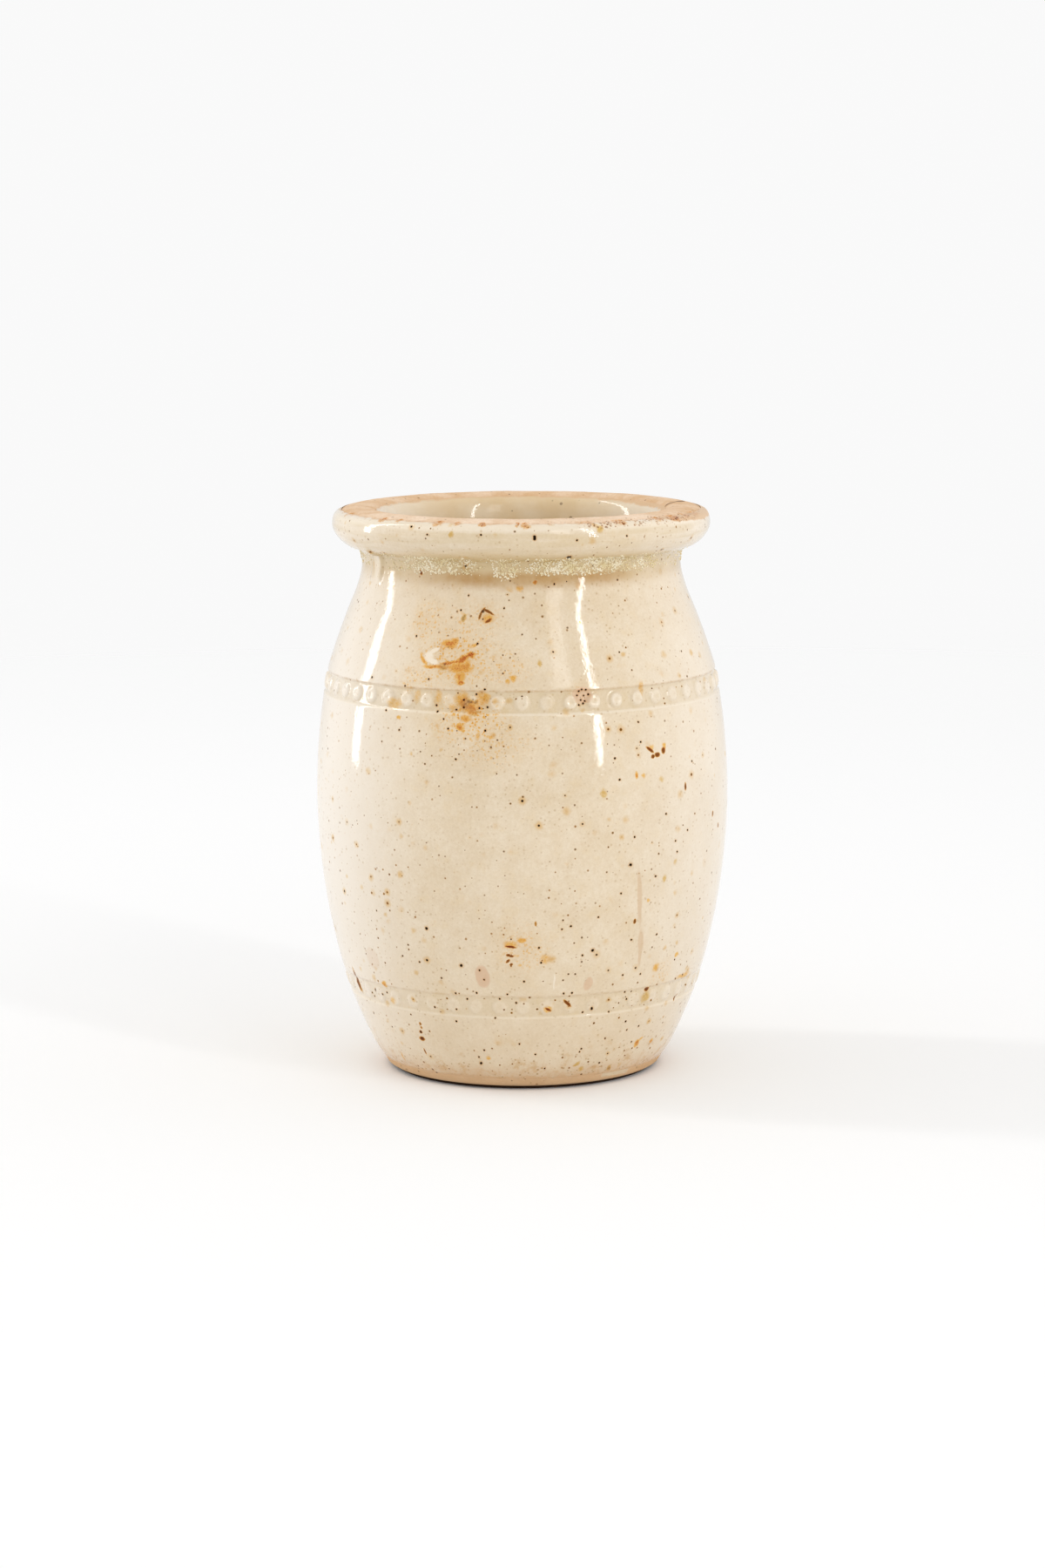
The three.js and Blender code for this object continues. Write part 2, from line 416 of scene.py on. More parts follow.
# %% [markdown]
# The glaze coat is a skin on that line, a third of a millimetre thick, and thinner towards both its edges.
# To model it by hand, a single vertex is extruded from point to point, and a Screw modifier turns the chain
# round the axis. Spin would do the same, but it is slow with hundreds of steps.
# The coat has a front and a back line, so the turning gives a closed shell.

# %% Turning a line into a piece


def turned(name, line, columns):
    """Extrude one vertex along a line of points in mm, then turn the chain round the pot's axis."""
    bpy.ops.object.select_all(action="DESELECT")
    bpy.ops.mesh.primitive_plane_add(size=MM)
    piece = bpy.context.object
    piece.name = name
    piece.data.name = name
    bpy.ops.object.mode_set(mode="EDIT")
    bpy.ops.mesh.select_all(action="SELECT")
    bpy.ops.mesh.merge(type="CENTER")
    bpy.ops.transform.translate(value=(line[0].x * MM, 0, line[0].y * MM))
    for last, point in zip(line, line[1:]):
        step = (point - last) * MM
        bpy.ops.mesh.extrude_vertices_move(TRANSFORM_OT_translate={"value": (step.x, 0, step.y)})
    bpy.ops.object.mode_set(mode="OBJECT")
    screw = piece.modifiers.new("turning", "SCREW")
    screw.steps = columns
    screw.render_steps = columns
    bpy.ops.object.modifier_apply(modifier="turning")
    bpy.ops.object.mode_set(mode="EDIT")
    bpy.ops.mesh.select_all(action="SELECT")
    bpy.ops.mesh.remove_doubles(threshold=0.001 * MM)
    bpy.ops.mesh.normals_make_consistent(inside=False)
    bpy.ops.object.mode_set(mode="OBJECT")
    bpy.ops.object.shade_smooth_by_angle(angle=math.radians(60))
    return piece


def moved_out(line, amounts):
    """The line moved to the right of its run by an amount at each point."""
    moved = []
    for index, (point, amount) in enumerate(zip(line, amounts)):
        run = line[min(index + 1, len(line) - 1)] - line[max(index - 1, 0)]
        moved.append(point + at(run.y, -run.x).normalized() * amount)
    return moved


GLAZE = 0.34
FLOODED = (0.6, 0.95)  # depth that the glaze leaves of the lower and the upper band


def coat(line, first_edge, last_edge):
    """Glaze thickness at each point: thin at an edge, full after that many mm along the line."""
    walked = [0]
    for last, point in zip(line, line[1:]):
        walked.append(walked[-1] + (point - last).length)
    amounts = []
    for way in walked:
        start = smooth(0.2 + way / first_edge)
        end = smooth(0.2 + (walked[-1] - way) / last_edge)
        amounts.append(GLAZE * min(start, end))
    return amounts


def thinned(line, slack):
    """The line with fewer points, none of the old ones further than slack from the new line."""
    first, last = line[0], line[-1]
    run = (last - first).normalized()
    apart = [abs(run.cross(point - first)) for point in line]
    worst = max(range(len(line)), key=apart.__getitem__)
    if apart[worst] <= slack:
        return [first, last]
    return thinned(line[: worst + 1], slack)[:-1] + thinned(line[worst:], slack)


def with_bands(line, edge, shares):
    """The line with both bands sunk in it: width of their sloping edges, and share of their depth left."""
    sunk = []
    for point in line:
        depth = 0
        for middle, share in zip((LOWER_BAND, UPPER_BAND), shares):
            depth += share * BAND_DEPTH * smooth((BAND_WIDTH / 2 - abs(point.y - middle)) / edge)
        sunk.append(point - at(depth, 0))
    return sunk


clay_wall = with_bands(outside, BAND_EDGE, (1, 1))
outer_coat = coat(outside, first_edge=3, last_edge=1.5)
front = with_bands(moved_out(outside, outer_coat), GLAZED_EDGE, FLOODED)
back = thinned(clay_wall, slack=0.1)[::-1]
glazed_outside = turned("glazed_outside", front + back + [front[0]], columns=728)
print("Glazed outside:", len(glazed_outside.data.polygons), "faces")

# %% [markdown]
# Two sunk bands carry rings of low beads, rolled into the clay with a wheel before firing.
# The glaze softens them to flat buttons with a dimple, and floods some of them more than others.
# A vertex group holds how high each vertex should rise, and a Displace modifier lifts it along its normal.

# %% Beads and dribbles
UPPER_BEADS = 52
LOWER_BEADS = 48
BEAD_WIDTH = 2.8
BEAD_HEIGHT = 2.9
BEAD_RISE = 0.5
BEAD_SLOPE = 0.36  # share of a bead's half width
DIMPLE_WIDTH = 0.65  # share of a bead's width
DIMPLE_DEPTH = 0.4  # share of a bead's rise
DRIBBLE_ANGLE = -58  # degrees round the pot, at the middle of its right edge
DRIBBLE_HEIGHT = 90.6
DRIBBLE_LEAN = 0.6  # degrees for each mm of height
DRIBBLE_WIDTH = 4.6
DRIBBLE_LOW = 87.6
DRIBBLE_HIGH = 94.4


def round_the_pot(point):
    """Degrees to the right of the side that faces the camera."""
    return math.degrees(math.atan2(point.x, -point.y))


def bead(angle, height, middle, count):
    """Rise of the nearest bead, 0 to 1."""
    number = round(angle * count / 360)
    across = math.radians(angle - number * 360 / count) * barrel_radius(middle)
    reach = math.hypot(across / BEAD_WIDTH, (height - middle) / BEAD_HEIGHT) * 2
    flooded = 0.85 + 0.35 * noise.noise(Vector((number * 0.63, middle, 0)))
    dimple = DIMPLE_DEPTH * smooth(1 - reach / DIMPLE_WIDTH)
    return flooded * (smooth((1 - reach) / BEAD_SLOPE) - dimple)


def dribble(angle, height):
    """A tongue of glaze that leans down the neck, thickest along its right edge, 0 to 1."""
    edge = DRIBBLE_ANGLE + DRIBBLE_LEAN * (height - DRIBBLE_HEIGHT)
    across = math.radians(angle - edge) * NECK_RADIUS
    tongue = smooth((0.3 - across) / 0.5) * smooth((across + DRIBBLE_WIDTH) / 1.2)
    ridge = math.exp(-(((across + 0.6) / 0.8) ** 2))
    ends = smooth((height - DRIBBLE_LOW) / 1.2) * smooth((DRIBBLE_HIGH - height) / 0.8)
    return ends * (0.5 * tongue + 0.4 * ridge)


def lift(piece, name, rises, top):
    """Move vertices out along their normals by a share of top, in mm."""
    group = piece.vertex_groups.new(name=name)
    for index, rise in rises.items():
        group.add([index], rise, "REPLACE")
    displace = piece.modifiers.new(name, "DISPLACE")
    displace.vertex_group = name
    displace.mid_level = 0
    displace.strength = top * MM
    bpy.ops.object.modifier_apply(modifier=name)


rises = {}
pools = []
for vertex in glazed_outside.data.vertices:
    angle = round_the_pot(vertex.co)
    height = vertex.co.z / MM
    pool = 0
    for middle, count, share in ((UPPER_BAND, UPPER_BEADS, 1), (LOWER_BAND, LOWER_BEADS, 0.5)):
        inside_band = smooth((BAND_WIDTH / 2 - abs(height - middle)) / BAND_EDGE)
        if inside_band > 0:
            swell = max(0, bead(angle, height, middle, count))
            rises[vertex.index] = swell * share
            pool = inside_band * (1 - 2 * min(1, swell))
    if abs(height - DRIBBLE_HEIGHT) < 5 and vertex.co.xy.length / MM > NECK_RADIUS + 0.1:
        rises[vertex.index] = dribble(angle, height)
    pools.append(pool)
lift(glazed_outside, "beads", rises, BEAD_RISE)
pooled = glazed_outside.data.attributes.new("pooled", "FLOAT", "POINT")
pooled.data.foreach_set("value", pools)
print(len(rises), "vertices in beads and dribble")

# %% [markdown]
# Poured glaze is never quite even. Slow waves in it make the two streaks of light wander down the wall.
# A Displace modifier with a cloud texture gives those waves. They are a few hundredths of a millimetre high.

# %% Waves in the glaze


def wave(piece, name, size, rise, middle=0.5, group=""):
    """Lift and sink the surface by clouds, with their size and rise in mm. The middle level stays put."""
    clouds = bpy.data.textures.new(name, "CLOUDS")
    clouds.noise_scale = size * MM
    displace = piece.modifiers.new(name, "DISPLACE")
    displace.texture = clouds
    displace.texture_coords = "LOCAL"
    displace.vertex_group = group
    displace.mid_level = middle
    displace.strength = rise * MM
    bpy.ops.object.modifier_apply(modifier=name)


wave(glazed_outside, "slow_waves", size=14, rise=0.12)
wave(glazed_outside, "quick_waves", size=3, rise=0.05)
print("Glazed outside is", [round(side / MM, 2) for side in glazed_outside.dimensions], "mm")

# %% [markdown]
# The clay body shows only at its foot, where it stood in the kiln, and along the top of its wiped rim.
# It is turned from one closed line: foot, outside under the glaze, rim, inside under the glaze, floor.
# The foot is cut under a little, and that undercut is painted nearly black, a painted shade, so a thin dark
# gap shows between the pot and the table.
# Under the glaze the line is coarser and lies a little deeper, so it never breaks through.

# %% Clay body
ridge = at(RIDGE_RADIUS, HEIGHT)
lip_corner = at(MOUTH_RADIUS, HEIGHT)
lip_end = at(MOUTH_RADIUS, HEIGHT - LIP_ROUND)
over_lip = ridge.lerp(lip_corner, 0.5)
down_lip = lip_corner.lerp(lip_end, 0.5)
inner_glaze_line = over_lip.lerp(down_lip, 0.3)
throat = at(MOUTH_RADIUS, rim_under)
corner_height = FLOOR + FLOOR_CORNER
corner_top = at(barrel_radius(corner_height, WALL), corner_height)
floor_edge = at(corner_top.x - FLOOR_CORNER, FLOOR)
inside_top = at(barrel_radius(UPPER_BAND, WALL), UPPER_BAND)

inside = [inner_glaze_line]
inside += curve(inner_glaze_line, down_lip, lip_end, 5)
inside += [lip_end.lerp(throat, part) for part in between(0, 1, 3)]
inside += curve(throat, at(MOUTH_RADIUS, NECK_HEIGHT - NECK_COVE), inside_top, 9)
inside += [at(barrel_radius(height, WALL), height) for height in between(UPPER_BAND, corner_height, 10)]
inside += curve(corner_top, at(corner_top.x - FLOOR_CORNER / 2, FLOOR), floor_edge, 6)
inside += [at(floor_edge.x * part, FLOOR) for part in (0.66, 0.33, 0)]

BURIED = -0.12  # mm, so that the clay stays under the coats
HIDDEN_SLACK = 0.06  # mm that a hidden line may stray when points are left out
THUMBED = 1.2  # mm from the top that a thumb has shaped
foot = [at(0, 0)]
foot += [at(radius, 0) for radius in between(0, FOOT_RADIUS - FOOT_UNDERCUT, 4)]
under_edge = at(FOOT_RADIUS - 0.4, FOOT_GAP)
foot += curve(foot[-1], at(FOOT_RADIUS - FOOT_UNDERCUT, FOOT_GAP), under_edge, 5)
foot += curve(under_edge, at(FOOT_RADIUS, FOOT_GAP), up_the_foot(FOOT_GAP + 0.4), 5)
foot += [up_the_foot(height) for height in between(FOOT_GAP + 0.4, BARE_FOOT, 4)]
under_coat = moved_out(clay_wall, [BURIED] * len(outside))[1:-1]
bare_rim = [rim_top]
bare_rim += curve(rim_top, crown, ridge, 8)
bare_rim += curve(ridge, over_lip, inner_glaze_line, 8)
under_lining = moved_out(inside, [BURIED] * len(inside))[1:-1]
clay_line = foot + thinned(under_coat, HIDDEN_SLACK) + bare_rim
clay_line += thinned(under_lining, HIDDEN_SLACK) + [at(0, FLOOR + BURIED)]
clay_body = turned("clay_body", clay_line, columns=480)

rim_group = clay_body.vertex_groups.new(name="bare_rim")
for vertex in clay_body.data.vertices:
    depth = HEIGHT - vertex.co.z / MM
    if depth < THUMBED and vertex.co.xy.length / MM > MOUTH_RADIUS:
        rim_group.add([vertex.index], 1, "REPLACE")
bpy.ops.object.select_all(action="DESELECT")
clay_body.select_set(True)
bpy.context.view_layer.objects.active = clay_body
wave(clay_body, "thumbed_rim", size=6, rise=0.16, middle=0.9, group="bare_rim")
clay_body.data.update()
top = max(vertex.co.z for vertex in clay_body.data.vertices) / MM
print("Clay body:", len(clay_body.data.polygons), "faces, top at", round(top, 3), "mm")

# %% [markdown]
# The inside has its own thinner coat of the same glaze, a little greyer in the shade of the mouth.
# It is turned like the outer coat, from the lip down the throat and the barrel to the middle of the floor.

# %% Inner lining
lining_front = moved_out(inside, coat(inside, first_edge=1.5, last_edge=0.001))
lining_front[-1] = at(0, lining_front[-2].y)
lining_back = thinned(inside, HIDDEN_SLACK)[::-1]
inner_lining = turned("inner_lining", lining_front + lining_back + [lining_front[0]], columns=320)
wave(inner_lining, "lining_waves", size=10, rise=0.05)
print("Inner lining:", len(inner_lining.data.polygons), "faces")

# %% [markdown]
# Under the rim the glaze gathered and crystallised into a pale sugary crust, thick here and thin there.
# One grain is an icosphere with its corners moved a little. It is copied thousands of times, each copy turned
# and sized at random.
# The random numbers start from a fixed seed, so every run gives the same crust.

# %% Crust under the rim
CRUST_LOW = 90.1
CRUST_HIGH = 93.5
CLUMP = -5  # degrees round the pot of a clump that hangs lower
GRAINS = 4200
GRAIN_SIZES = (0.08, 0.22)  # radius in mm, smallest and largest
THIN_CRUST = 0.08  # share of grains outside the patches
CRUST_PATCHES = ((-30, 12, 0.7), (CLUMP, 4, 1), (21, 15, 1), (45, 9, 0.4), (120, 30, 0.5), (-140, 40, 0.6))

bpy.ops.object.select_all(action="DESELECT")
bpy.ops.mesh.primitive_ico_sphere_add(subdivisions=1, radius=MM)
grain = bpy.context.object
bpy.ops.object.mode_set(mode="EDIT")
bpy.ops.mesh.select_all(action="SELECT")
bpy.ops.transform.vertex_random(offset=0.25 * MM, seed=3)
bpy.ops.mesh.normals_make_consistent(inside=False)
bpy.ops.object.mode_set(mode="OBJECT")
grain.name = "neck_crust"

random.seed(11)
crust_line = [point for point in front if 88 <= point.y <= 94.5]


def crust_share(angle):
    """How thick the crust lies at an angle round the pot, 0 to 1."""
    share = THIN_CRUST
    for middle, reach, thickness in CRUST_PATCHES:
        share = max(share, thickness * smooth(1.6 - abs(angle - middle) / reach))
    return share


def neck_point(height):
    """The point of the glaze's line at a height in the neck."""
    for low, high in zip(crust_line, crust_line[1:]):
        if low.y <= height <= high.y:
            return low.lerp(high, (height - low.y) / (high.y - low.y))


copies = [grain]
while len(copies) < GRAINS:
    angle = random.uniform(-180, 180)
    low = CRUST_LOW - smooth(2 - abs(angle - CLUMP) / 2)
    row = neck_point(low + (CRUST_HIGH - low) * random.betavariate(1.6, 1.6))
    turn = math.radians(angle)
    spot = Vector((row.x * math.sin(turn), -row.x * math.cos(turn), row.y))
    clumped = 0.75 + noise.noise(spot * 1.3)
    if random.random() > crust_share(angle) * clumped:
        continue
    size = random.uniform(*GRAIN_SIZES)
    copy = grain.copy()
    copy.data = grain.data.copy()
    copy.location = spot * MM
    copy.rotation_euler = [random.uniform(0, math.tau) for axis in "xyz"]
    copy.scale = [size * random.uniform(0.8, 1.2) for axis in "xyz"]
    bpy.context.collection.objects.link(copy)
    copies.append(copy)
bpy.ops.object.select_all(action="DESELECT")
for copy in copies[1:]:
    copy.select_set(True)
bpy.context.view_layer.objects.active = copies[1]
bpy.ops.object.join()
neck_crust = bpy.context.object
bpy.data.objects.remove(grain)
neck_crust.name = "neck_crust"
neck_crust.data.name = "neck_crust"
bpy.ops.object.transform_apply(location=True, rotation=True, scale=True)
print("Crust:", len(copies) - 1, "grains,", len(neck_crust.data.polygons), "faces")

# %% [markdown]
# Every finish starts in the same way: a Principled shader and the place on the object, in millimetres.
# Noise gives clouds of colour. A Voronoi pattern gives specks: one in each cell, if chance lets it show.

# %% Helpers for the finishes


def finish(piece, name):
    """A new material on a piece: its shader and the place on the object in mm."""
    material = bpy.data.materials.new(name)
    piece.data.materials.clear()
    piece.data.materials.append(material)
    material.use_nodes = True
    shader = material.node_tree.nodes["Principled BSDF"]
    place = Wire(shader.outputs[0]).node("ShaderNodeTexCoord", {}, {}, "Object")
    return shader, place.scaled(1 / MM)


def feed(shader, **wires):
    """Link wires to the shader's sockets: base_color goes to Base Color."""
    for name, wire in wires.items():
        socket = shader.inputs[name.replace("_", " ").title()]
        shader.id_data.links.new(wire.socket, socket)


def clouds(place, size, detail=3, roughness=0.55):
    """Soft noise from 0 to 1 with features of about a size in mm."""
    inputs = {0: place, "Scale": 1 / size, "Detail": detail, "Roughness": roughness}
    return place.node("ShaderNodeTexNoise", {}, inputs)


def specks(place, spacing, radius, share):
    """Round specks: mean spacing and radius in mm, share that show. Returns specks, soft halos and a hue."""
    cell = place.node("ShaderNodeTexVoronoi", {}, {0: place, "Scale": 1 / spacing})
    chance = cell.other("Color")
    reach = cell * spacing / (0.55 + 0.9 * chance.axis("Y"))
    shown = chance.axis("X").ramp(share, share - 0.02)
    halos = reach.ramp(radius * 1.8, radius * 0.5) * shown
    return reach.ramp(radius * 1.1, radius * 0.7) * shown, halos, chance.axis("Z")


def bump(height, depth):
    """A normal from a height of 0 to 1, with its depth in mm."""
    return height.node("ShaderNodeBump", {}, {"Distance": depth * MM, "Height": height})


print("Finish helpers ready")

# %% [markdown]
# Marks that sit in one place are drawn on the unrolled wall: a point there is its way round and its height.
# An oval takes only a few nodes, so a long list of marks stays cheap to render.

# %% Helpers for marks
ROUND_MM = 0.58  # mm round the wall for each degree, at the middle radius


def unrolled(place, across):
    """A surface laid flat: mm round from the front, and a wire that runs across, such as the height in mm."""
    angle = place.maths("ARCTAN2", place.axis("X"), place.axis("Y") * -1)
    return place.node("ShaderNodeCombineXYZ", {}, {0: angle * math.degrees(ROUND_MM), 1: across})


def shaken(flat, place, size, amount):
    """The unrolled wall pushed about by noise, so that a drawn mark gets a ragged edge."""
    pattern = place.node("ShaderNodeTexNoise", {}, {0: place, "Scale": 1 / size, "Detail": 3}, "Color")
    push = pattern.vector("SUBTRACT", (0.5, 0.5, 0.5)).scaled(2 * amount)
    return flat.vector("ADD", push)


def marks(flat, drawn, edge):
    """One mask for ovals: angle, height, width, length and strength of each, then its turn if it has one."""
    mask = None
    for angle, height, width, length, strength, *turn in drawn:
        middle = Vector((angle * ROUND_MM, height, 0))
        share = Vector((2 / width, 2 / length, 1))
        upright = flat
        if turn:
            inputs = {"Vector": flat, "Center": middle, "Angle": math.radians(-turn[0])}
            upright = flat.node("ShaderNodeVectorRotate", {"rotation_type": "Z_AXIS"}, inputs)
        reach = upright.vector("MULTIPLY_ADD", share, -middle * share).vector("LENGTH", output="Value")
        oval = reach.ramp(1 + edge, 1 - edge, strength)
        mask = mask.either(oval) if mask else oval
    return mask


def dotted(flat, places, radius):
    """Round specks of one size, with the angle and height of each. Returns specks and soft halos."""
    nearest = None
    for angle, height in places:
        gap = flat.vector("DISTANCE", (angle * ROUND_MM, height, 0), output="Value")
        nearest = gap.maths("MINIMUM", nearest, gap) if nearest else gap
    return nearest.ramp(radius * 1.2, radius * 0.7), nearest.ramp(radius * 2.4, radius * 0.6)


print("Mark helpers ready")

# %% [markdown]
# The outer glaze is a warm cream that breaks to tan in places. Iron in the clay bleeds through as specks.
# The colour is laid on in layers: ground with a painted sheen on its sides, pools in the bands and the neck,
# painted light and shade at the band edges, a neck line that is partly painted shade, thin edges with a
# painted highlight on the rim, then specks.

# %% Outer glaze: ground and specks
CREAM = shade(236, 220, 195)
TAN = shade(225, 204, 172)
OLIVE = shade(204, 178, 126)
# The next colour also paints shade: in the neck under the crust, and under the bands' upper edges.
DEEP_OLIVE_SHADE = shade(180, 132, 62)
PALE = shade(246, 233, 212)
BARE = shade(222, 186, 144)
BARE_FOOT_CLAY = shade(213, 175, 130)
RIM_STAIN = (shade(238, 194, 128), shade(184, 116, 56))  # light and dark tint
BLACK = shade(34, 22, 10)

glaze, place = finish(glazed_outside, "speckled_glaze")
height = place.axis("Z")
slow = clouds(place, 7, 5, 0.6).ramp(0.32, 0.68)
fine = clouds(place, 1.4, 5, 0.7).ramp(0.3, 0.7)
mottle = clouds(place, 2.8, 4, 0.65).ramp(0.5, 0.7)
ground = blend(slow * 0.5 + fine * 0.5, TAN, CREAM)
ground = blend(mottle * 0.4, ground, shade(224, 198, 154))
grain = clouds(place, 0.45, 3, 0.7).ramp(0.35, 0.65)
ground = stain(grain * 0.3, ground, shade(234, 226, 206))
ground = blend(height.ramp(34, 4) * 0.35, ground, TAN)
flat = unrolled(place, height)
across = flat.axis("X")
side = place.axis("X")
# Painted sheen: both sides of the pot, and more of its front left below the neck, are painted paler, as light
# from the sides whitens them.
painted_left_sheen = side.ramp(-14, -36) * across.ramp(-56, -38) * height.ramp(92, 84)
painted_side_sheen = side.unsigned().ramp(14, 36) * 0.5 + painted_left_sheen * 0.5
ground = blend(painted_side_sheen, ground, shade(242, 232, 218))
# Painted light: the pools in the neck and the dark neck line below are strongest on the front and fade
# towards the sides and back, so the sides read paler.
front_painted_light = across.unsigned().ramp(28, 13)

pooled_glaze = place.node("ShaderNodeAttribute", {"attribute_name": "pooled"}, {}, "Fac")
pool = pooled_glaze.ramp(0, 1)
upper_half = height.ramp(40, 44)
ground = blend(pool * (0.05 + 0.08 * upper_half + 0.24 * fine), ground, OLIVE)
ground = blend(pooled_glaze.ramp(0, -1) * (0.15 + 0.3 * upper_half), ground, PALE)
# Painted light and shade at each band: a pale line along its lower ledge, which faces up, and a dark line
# under its upper edge, which overhangs.
for middle, strength in ((UPPER_BAND, 0.6), (LOWER_BAND, 0.3)):
    painted_ledge_highlight = height.peak(middle - BAND_WIDTH / 2 + 0.2, 0.35)
    ground = blend(painted_ledge_highlight * strength, ground, PALE)
    painted_brow_shade = height.peak(middle + BAND_WIDTH / 2 - 0.1, 0.3)
    ground = blend(painted_brow_shade * strength * fine, ground, DEEP_OLIVE_SHADE)
ragged = clouds(place, 2.2, 4, 0.6)
layered = place.vector("MULTIPLY", (0.08, 0.08, 1))
layers = clouds(layered, 1.1, 3).ramp(0.42, 0.62) * height.ramp(92, 94)
ground = blend(layers * 0.4, ground, shade(214, 190, 146))
neck_pool = height.ramp(87.8, 90.2) * height.ramp(95, 92.6)
ground = blend(neck_pool * (0.28 + 0.4 * slow + 0.32 * front_painted_light), ground, OLIVE)
# Partly painted shade: a darker band in the neck, under the crust and the rim's roll, where glaze gathered
# and where shade falls.
neck_line_and_shade = (height + ragged * 2).ramp(88.2, 90.8) * height.ramp(91.4, 90)
neck_line_and_shade = neck_line_and_shade * (0.45 + 0.55 * slow) * (0.15 + 0.85 * front_painted_light)
ground = blend(neck_line_and_shade, ground, DEEP_OLIVE_SHADE)

# Partly painted highlight: the glaze on the rim's rounded top is painted paler, where it is thin and where it
# catches the light.
thin_rim_and_highlight = height.ramp(97.7, 98.6)
ground = blend(thin_rim_and_highlight * 0.6, ground, PALE)
bare_edge = (height + ragged + side.ramp(20, 32) * 1.1).ramp(99.75, 100)
ground = stain(mottle * height.ramp(12, 3) * 0.7, ground, shade(226, 196, 148))
thin_foot = (height - ragged * 3).ramp(4.2, 0.8)
ground = blend(thin_foot * (0.3 + 0.6 * fine), ground, BARE_FOOT_CLAY)
bare_foot = (height - ragged * 1.6).ramp(2.0, 1.4)
ground = blend(bare_edge, ground, BARE)
ground = blend(bare_foot, ground, BARE_FOOT_CLAY)
gritty_side = across.ramp(9, 16) * across.ramp(42, 36) * (0.4 + 0.6 * ragged.ramp(0.42, 0.58))
gritty_side = gritty_side * height.ramp(98.3, 98.9)
rim_grains, grain_halo, grain_hue = specks(place, 0.5, 0.2, 0.8)
rim_grains = rim_grains * gritty_side
ground = stain(grain_halo * gritty_side * 0.8, ground, shade(232, 184, 122))
ground = blend(rim_grains, ground, blend(grain_hue, shade(104, 58, 22), shade(160, 98, 44)))

crowding = clouds(place, 16, 2).ramp(0.3, 0.7)
low_crowd = height.ramp(26, 8)
dust = specks(place, 0.75, 0.13, 0.5)[1]
freckles = specks(shaken(place, place, 0.7, 0.3), 2.4, 0.45, 0.3)[1]
pepper, pepper_halo, hue = specks(place, 1.1, 0.16, 0.3)
sown = 0.55 + 0.45 * crowding + 0.4 * low_crowd + 0.3 * pool
pepper = pepper * sown
dots, dot_halo, dot_hue = specks(place, 2.4, 0.2, 0.3)
AMBER = shade(232, 190, 118)
ground = stain(freckles * (0.2 + 0.7 * crowding), ground, shade(240, 212, 152))
ground = stain(dust * (0.2 + 0.3 * crowding + 0.6 * height.ramp(9, 3)), ground, shade(206, 182, 140))
ground = stain((pepper_halo * sown).either(dot_halo) * 0.45, ground, AMBER)
ground = blend(pepper, ground, blend(hue, shade(58, 34, 8), shade(150, 104, 40)))
ground = blend(dots, ground, blend(dot_hue.ramp(0.55, 0.75), BLACK, shade(128, 82, 26)))
print("Glaze ground:", len(glaze.id_data.nodes), "nodes")

# %% [markdown]
# Some marks are this pot's own: rust stains on the shoulder, brown strokes on the right, bare pinkish drops.
# Each list below holds one kind. A mark is an oval with a ragged edge, and several overlap to make a stain.
# Specks need only a place, because all in a list are round and of one size.
# The side that the photograph doesn't show gets a few marks of the same kinds at random places.

